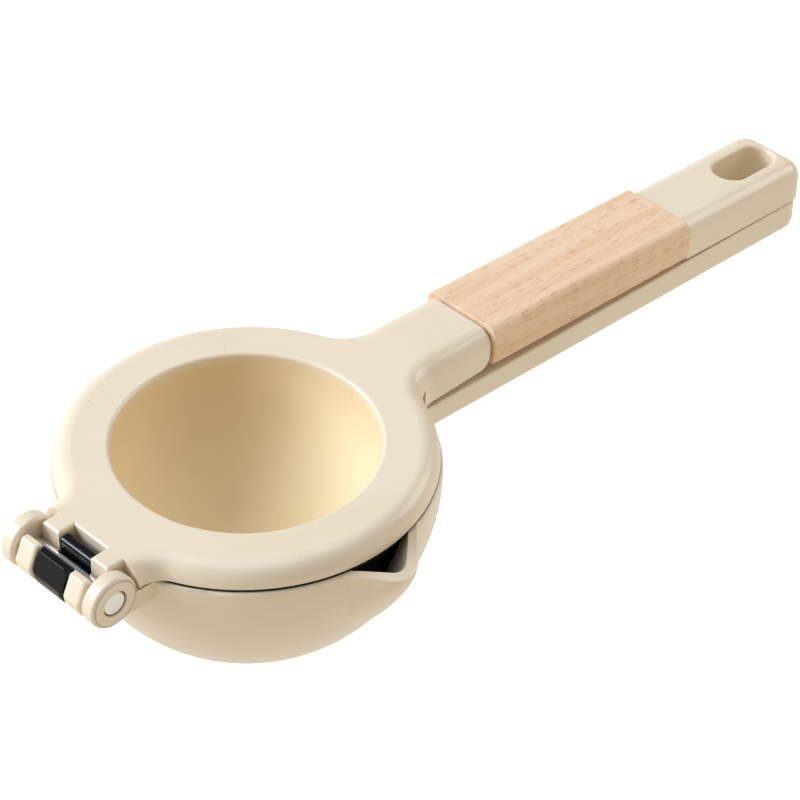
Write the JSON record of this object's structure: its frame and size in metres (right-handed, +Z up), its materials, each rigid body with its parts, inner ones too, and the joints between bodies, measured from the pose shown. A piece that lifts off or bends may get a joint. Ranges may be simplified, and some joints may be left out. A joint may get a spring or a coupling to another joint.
{
  "type": "hinged citrus press",
  "caption": "Two-arm hand press for halved citrus fruit: hinged press cup over a drained strainer, bowl with side spout, wooden grip, hanging slot.",
  "frame": {"origin": "centre of the bowl's flat foot", "axes": "+X runs from the bowl along the handles to the tail, -Y is the side that the spout pours to, +Z is up"},
  "size_m": [0.231, 0.0911, 0.0455],
  "materials": {
    "cream_coat": "smooth satin coating on cast aluminium",
    "black_nylon": "glossy",
    "polished_steel": "polished",
    "beech": "oiled",
    "screw_steel": "plain"
  },
  "bodies": {
    "lower_arm_body": {"lower_arm": "cream_coat", "hinge_pin": "polished_steel"},
    "press_arm_body": {"press_arm": "cream_coat", "grip": "beech", "grip_screws": "screw_steel"},
    "strainer_body": {"strainer": "black_nylon"}
  },
  "joints": [
    {"name": "press_hinge", "type": "hinge", "parent": "lower_arm_body", "child": "press_arm_body", "pos_m": [-0.0495, 0, 0.0394], "axis": [0, -1, 0], "range_deg": [0, 120]},
    {"name": "strainer_hinge", "type": "hinge", "parent": "lower_arm_body", "child": "strainer_body", "pos_m": [-0.0495, 0, 0.0394], "axis": [0, -1, 0], "range_deg": [0, 45]}
  ],
  "couplings": [
    {"joint": "strainer_hinge", "follows": "press_hinge", "ratio": 0.36}
  ]
}
